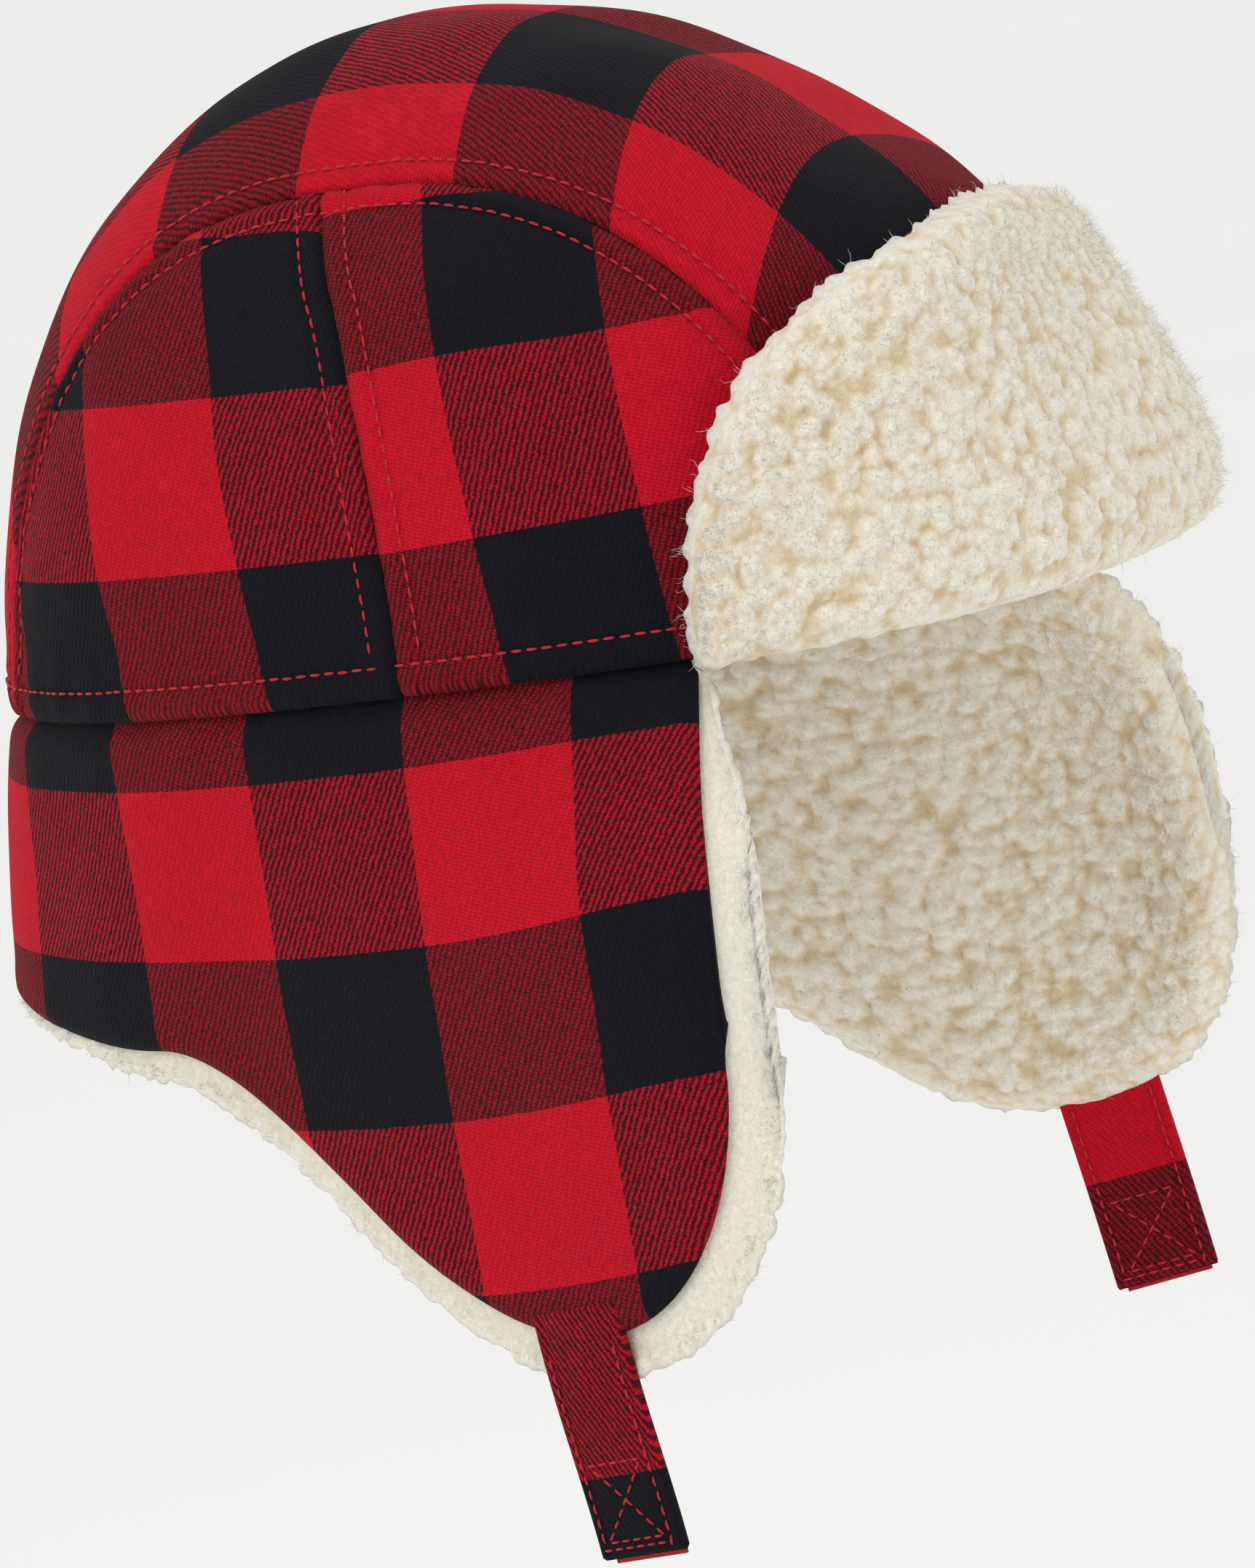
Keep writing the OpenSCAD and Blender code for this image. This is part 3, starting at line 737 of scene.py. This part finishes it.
def loose_fibres(points, normals_, seed, length):
    """Thin tapered hairs from random points: root + L (t up + curl sin(2.6 t) across), as tubes of
    square section, three rings each."""
    count, rings, width, curl = 6500, 3, 0.00005, 0.5
    rng = np.random.default_rng(seed)
    pick = rng.choice(len(points), count, replace=count > len(points))
    root, up_ = points[pick], normals_[pick] + 0.45 * rng.normal(size=(count, 3))
    side_ = np.cross(up_, rng.normal(size=(count, 3)))
    side_ /= np.linalg.norm(side_, axis=1, keepdims=True)
    across = np.cross(up_, side_)
    across /= np.linalg.norm(across, axis=1, keepdims=True)
    up_ = up_ / np.linalg.norm(up_, axis=1, keepdims=True)
    long = (length * rng.uniform(0.5, 1.3, count))[:, None, None]
    t = np.linspace(0, 1, rings)[None, :, None]
    bow = curl * rng.uniform(-1, 1, count)[:, None, None]
    middle = root[:, None] + long * (t * up_[:, None] + bow * np.sin(2.6 * t) * across[:, None])
    thin = width * (1 - 0.75 * t)
    corners = np.array([(1, 0), (0, 1), (-1, 0), (0, -1)])
    hairs = middle[:, :, None] + thin[..., None] * (corners[None, None, :, :1] * side_[:, None, None]
                                                    + corners[None, None, :, 1:] * across[:, None, None])
    g = np.arange(rings * 4).reshape(rings, 4)
    wrap = np.roll(g, -1, 1)
    one = np.concatenate([np.stack([g[:-1], wrap[:-1], wrap[1:], g[1:]], -1).reshape(-1, 4),
                          [g[0, ::-1], g[-1]]])
    return hairs.reshape(-1, 3), (one[None] + g.size * np.arange(count)[:, None, None]).reshape(-1, 4)


def lined(piece, tips, out, fuzz_name, seed, length):
    """Adds a padded lining's loose fibres, and bakes the placement of both into their meshes."""
    points, faces = loose_fibres(tips, out, seed, length)
    # The loose fibres get a pile height of 0.75, which gives them the lighter top cream of the painted
    # crevice shade.
    fuzz = put(fuzz_name, points, faces, sherpa, None, [], pile=np.full(len(points), 0.75))
    for cover in (piece, fuzz):
        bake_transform(cover)


sherpa, wire = new_finish("cream_sherpa")
place = wire.node("ShaderNodeTexCoord", out=3)
lump = wire.node("ShaderNodeAttribute", {"attribute_name": "pile"}, out=2)
warped = wire.node("ShaderNodeVectorMath", {"operation": "ADD"}, _0=place, _1=wire.node(
    "ShaderNodeVectorMath", {"operation": "SCALE"}, _0=wire.node("ShaderNodeTexNoise", out=1, Vector=place,
                                                                 Scale=700.0, Detail=2.0), Scale=0.0022))
wool = warped.noise(1100.0, 4.0, 0.62)
strands = warped.noise(3000.0, 3.0, 0.6)
# Painted shade: the colour runs from darker cream in the crevices between the lumps to lighter cream on their
# tops, by the pile height, with random tone of the wool mixed in.
wool_tone_and_crevice_shade = (lump * 1.55 - 0.02 + (wool - 0.5) * 0.36).over(0.0, 1.0)
colour = wool_tone_and_crevice_shade.blended(linear(230, 209, 170), linear(251, 245, 230))
finish_of(colour, 0.95, wool * 0.6 + strands * 0.4, 0.0009, sheen=0.08)
fibre = sherpa.node_tree.nodes["Principled BSDF"]
fibre.inputs["Subsurface Weight"].default_value = 0.35
fibre.inputs["Subsurface Radius"].default_value = (1.0, 0.8, 0.55)
fibre.inputs["Subsurface Scale"].default_value = 0.0025

for side, word in ((-1, "right"), (1, "left")):
    face, angle = band_grid(side, 420, 250, 0.0068, lambda share: 0.0015 + 0.0055 * smooth(share * 2.2))
    d, _ = nearest(face, free_edge(face))
    inward = -normals(face) * np.stack([np.ones_like(d), np.ones_like(d), smooth(arc(face, 1) / 0.018)], -1)
    inward /= np.linalg.norm(inward, axis=-1, keepdims=True)
    lining, tips, out = fleece(f"band_and_earflap_lining_{word}", face + ground_gap * inward, inward, d, None,
                               [f"neck_lining_{word}", f"earflap_lining_{word}"], 5 + side)
    lined(lining, tips, out, f"band_and_earflap_fuzz_{word}", 71 + side, 0.0016)

# ---- Sherpa: the lining of the crown -------------------------------------------------
# The crown has its own lining of the same sherpa, a long piece and two side pieces that lie pile
# inwards against the head.
lining_gap, lining_depth, lining_curls = 0.0034, 0.0072, 0.0016
across = np.linspace(-0.0511, 0.0511, 84)[None] + np.zeros((200, 1))
face = dome(across, -length_at(across) * np.cos(np.radians(np.linspace(0, 180, 200)))[:, None])
linings = [("long", "centre", face, straight(face.reshape(-1, 3)), 21)]
for side, word in ((-1, "right"), (1, "left")):
    face, _, _ = side_grid(side, front_corner, back_corner, 170, 84)
    linings.append((word, word, face, face.reshape(-1, 3), 24 + side))
for word, node, face, points, seed in linings:
    inward = -crown_normal(points).reshape(face.shape)
    lining, _, _ = fleece(f"crown_sherpa_{word}", face + lining_gap * inward, inward, np.ones(face.shape[:2]),
                          "crown", [f"crown_lining_{node}"], seed, lining_curls, depth=lining_depth)

# ---- Front flap ----------------------------------------------------------------------
# A flap of sherpa, backed with flannel, is sewn to the base seam over the brow and stands up
# against the crown. It can fold down forwards about its foot to shade the eyes; here it stays up.
visor_height, visor_angle, visor_gap = 0.063, 57.0, 0.002


def visor_top(u):
    """The flap's height along its width, 63 mm (1 - |u|^n)^(1/n), u from -1 to 1, rounder on the left."""
    power = np.where(u < 0, 2.2, 2.6)
    return visor_height * (1 - np.abs(u) ** power) ** (1 / power)


def visor_grid(columns, rows, out, lowest=0.0004):
    """The flap's grid: an upright wall off the outline, that leans back at its top on the far side."""
    u = -0.98 * np.cos(np.linspace(0, np.pi, columns))[:, None]
    spread = np.linspace(0, 1, rows)[None]
    share = 0.5 * spread + 0.5 * np.sin(np.pi / 2 * spread)
    h = lowest + (visor_top(u) - lowest) * share
    x, y = outline(visor_angle * u + 3.6 * smooth((u - 0.45) / 0.5) * (1 - smooth(h / 0.034)))
    a = np.radians(visor_angle * u)
    n = np.concatenate([-signed_power(np.sin(a), 2 - 2 / plan_power) / half_width,
                        -signed_power(np.cos(a), 2 - 2 / plan_power) / half_length], 1)
    n /= np.linalg.norm(n, axis=1, keepdims=True)
    back = 0.013 * smooth((h - 0.010) / 0.050) * smooth((0.5 - u) / 0.6)
    step = visor_gap - back
    grid = np.stack([x + n[:, :1] * step, y + n[:, 1:] * step + 0.006 * h / visor_height, h], -1)
    steps = np.cross(np.gradient(grid, axis=0), np.gradient(grid, axis=1))
    steps /= np.linalg.norm(steps, axis=-1, keepdims=True)
    steps *= np.sign((steps[..., :2] * n[:, None]).sum())
    return grid + out * steps, steps


def visor_edge(grid):
    """Each point's distance to the flap's free edge, up one end, along its top and down the other."""
    return nearest(grid, np.concatenate([grid[0], grid[:, -1], grid[-1, ::-1]]))[0]


# Two points in front of the brow, which the code below does not use.
bend_start, bend_end = (0, -0.105, 0.0), (0, -0.118, 0.030)
grid, out = visor_grid(130, 60, flannel)
rounded = 0.0005 * (1 - np.minimum(visor_edge(grid) / 0.002, 1)) ** 2
cut = np.stack([arc(grid, 0), arc(grid, 1)], -1)
points, faces = closed(grid - out * rounded[..., None], grid - flannel * out)
backing = put("front_flap_flannel", points, faces, buffalo, None, ["front_flap_backing"],
              np.tile(cut.reshape(-1, 2), (2, 1)))
stretched(grid)
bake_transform(backing)
grid, out = visor_grid(380, 150, ground_gap, -0.0005)
d = np.minimum(visor_edge(grid), 0.9 * arc(grid, 1) + skin)
facing, tips, out = fleece("front_flap_sherpa", grid, out, d, None, ["front_flap_facing"], 33, 0.0024, 0.009)
lined(facing, tips, out, "front_flap_fuzz", 77, 0.0018)

# ---- Chin straps ---------------------------------------------------------------------
# Two flat straps of doubled flannel, edge-stitched, sewn in at the earflaps' tips. The right one
# carries a hook patch on its inner face, the left one a loop patch on its outer face.
strap_width, strap_thick, strap_top, strap_low = 0.0195, 0.0024, 0.006, -0.037


def strap_place(side, local):
    """Points of a strap's own frame (+X inwards, Y along the hem, Z up) put at an earflap's tip:
    turned 8 degrees about X, then 15.86 degrees clockwise from above, and mirrored on the left."""
    lean, twist = np.radians((-8.0, -15.8587))
    x, y, z = local[..., 0], local[..., 1], local[..., 2]
    y, z = y * np.cos(lean) - z * np.sin(lean), y * np.sin(lean) + z * np.cos(lean)
    x, y = x * np.cos(twist) - y * np.sin(twist), x * np.sin(twist) + y * np.cos(twist)
    x, y, z = x - 0.0989087, y - 0.0284606, z - 0.1069
    if side > 0:
        x, y, z = -x, y - 0.009, z - 0.0045
    return np.stack([x, y, z], -1)


def sway(z, side):
    """How far a strap's cloth waves out of flat, down its length."""
    return 0.0004 * np.sin(z / 0.009 + side)


def strap_section(rows, side):
    """A strap's outside, as a ring of 40 points round its flat section at every row down it. The
    section is pinched under the edge stitches, and thins over the last 0.8 mm at both ends."""
    a = np.linspace(0, 2 * np.pi, 40, endpoint=False)[None]
    z = np.linspace(strap_top, strap_low, rows)[:, None]
    past = np.abs(z - (strap_top + strap_low) / 2) - (strap_top - strap_low) / 2 + 0.0008
    end = np.sqrt(np.clip(1 - np.clip(past / 0.0008, 0, 1) ** 2, 0.02, 1))
    y = strap_width / 2 * signed_power(np.cos(a), 0.24) * (0.975 + 0.025 * end)
    pinch = 1 - 0.30 * np.exp(-((strap_width / 2 - np.abs(y) - 0.0022) / 0.0007) ** 2)
    x = flannel - strap_thick / 2 + strap_thick / 2 * signed_power(np.sin(a), 0.5) * end * pinch
    return np.stack(np.broadcast_arrays(x + sway(z, side), y, z), -1)


def tube(section):
    """Points and faces of a closed tube of ring-shaped rows, its ends filled with strips across."""
    rows, ring_size = section.shape[:2]
    g = np.arange(rows * ring_size).reshape(rows, ring_size)
    wrap = np.roll(g, -1, 1)
    faces = [np.stack([g[:-1], wrap[:-1], wrap[1:], g[1:]], -1).reshape(-1, 4)]
    half = ring_size // 2
    n = np.arange(half - 1)
    for end in (g[0], g[-1][::-1]):
        faces.append(np.stack([end[n], end[n + 1], end[ring_size - 2 - n], end[ring_size - 1 - n]], -1))
    return section.reshape(-1, 3), np.concatenate(faces)


for side, word in ((-1, "right"), (1, "left")):
    local, faces = tube(strap_section(70, side))
    cut = local[:, 1:] + ((0.0435, 0.023) if side < 0 else (0.015, 0.0165))
    strap = put(f"strap_flannel_{word}", strap_place(side, local), faces, buffalo, None,
                [f"strap_root_{word}", f"chin_strap_{word}"], cut)
    bend_start, bend_end = (tuple(strap_place(side, np.array([0.0, 0, z]))) for z in (-0.0115, -0.0165))
    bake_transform(strap)

    # A row of stitches runs round each strap's edge, and a crossed box holds the patch.
    low, wide = -0.0352, strap_width / 2 - 0.0021
    edge = [(-wide, -0.001), (-wide, low), (wide, low), (wide, -0.001)]
    crossed = [(-wide + 0.0016, low + 0.0145), (wide - 0.0016, low + 0.0145), (-wide + 0.0012, low + 0.0012),
               (wide - 0.0012, low + 0.0012), (-wide + 0.0016, low + 0.0145)]
    for face, sign, where in ((flannel - strap_thick - 0.0001, -1, "outer"), (flannel + 0.0001, 1, "inner")):
        paths = []
        for corners in (edge, crossed):
            t = np.concatenate([np.linspace(n, n + 1, 60, endpoint=False) for n in range(len(corners) - 1)])
            y, z = (np.interp(t, range(len(corners)), [c[k] for c in corners]) for k in (0, 1))
            flat = np.stack([face + sway(z, side), y, z], -1)
            spots = strap_place(side, flat)
            away_ = strap_place(side, flat + (sign * 0.001, 0, 0)) - spots
            paths.append((spots, away_ / np.linalg.norm(away_, axis=1, keepdims=True)))
        points, faces = stitched(paths, 0.0025, 0.0009, 0.00023)
        sewing = put(f"strap_stitching_{word}_{where}", points, faces, thread, None, [])
        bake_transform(sewing)

# ---- Hook and loop patches -----------------------------------------------------------
# Woven red tape 16 mm long, sewn flat to the strap's end: stiff little hooks on the right strap,
# a felted bed of loops on the left one.
tape, wire = new_finish("red_touch_tape")
place = wire.node("ShaderNodeTexCoord", out=3)
grain = place.noise(1800.0, 4.0, 0.7)
finish_of(grain.blended(linear(150, 22, 32), linear(214, 48, 52)), 0.8, grain, 0.0006, sheen=0.1)
patch_width, patch_length, patch_thick = 0.0163, 0.016, 0.0012
for side, word, kind in ((-1, "right", "hook"), (1, "left", "loop")):
    v = np.linspace(-1, 1, 60)
    y, z = np.meshgrid(v * patch_width / 2, -0.0379 + (v + 1) / 2 * patch_length, indexing="ij")
    rim = np.minimum(patch_width / 2 - np.abs(y), patch_length / 2 - np.abs(z - z.mean()))
    if kind == "hook":
        rise = 0.00035 * (np.sin(y / 0.00019) * np.sin(z / 0.00019) > 0.1) * (rim > 0.0012)
        face, sign = flannel, 1
    else:
        rise = 0.00025 * pile_height(np.stack([0 * y, y, z], -1).reshape(-1, 3), 50).reshape(y.shape)
        face, sign = flannel - strap_thick, -1
    top = face + sign * (patch_thick - 0.0004 - 0.0006 * (1 - np.minimum(rim / 0.0008, 1)) ** 2 + rise)
    outer = strap_place(side, np.stack([top + sway(z, side), y, z], -1))
    inner = strap_place(side, np.stack([face - sign * 0.0003 + sway(z, side), y, z], -1))
    points, faces = closed(outer, inner)
    put(f"{kind}_patch", points, faces, tape, f"strap_{word}", [f"{kind}_patch_{word}"])

# ---- Care label ----------------------------------------------------------------------
# A blank white satin ribbon, folded double and sewn to the lining inside the nape.
satin, wire = new_finish("white_satin")
place = wire.node("ShaderNodeTexCoord", out=3)
weave = place.noise(1.0, 2.0, 0.5, (9000, 900, 900))
finish_of(weave.blended(linear(232, 232, 228), linear(250, 250, 248)), 0.38, weave, 0.0001)
(x0, y0, z0), (x1, _, z1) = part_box("care_label")
share_x, share_z = np.meshgrid(np.linspace(0, 1, 30), np.linspace(0, 1, 36), indexing="ij")
curl = 0.0016 * np.sin(np.pi * share_x) * (1 - share_z) + 0.0006 * np.sin(3 * share_z + 4 * share_x)
front = np.stack([x0 + (x1 - x0) * share_x, y0 - curl, z0 + (z1 - z0) * share_z], -1)
points, faces = closed(front, front + (0, 0.0007, 0))
ribbon = put("care_label_ribbon", points, faces, satin, "crown", ["care_label"])
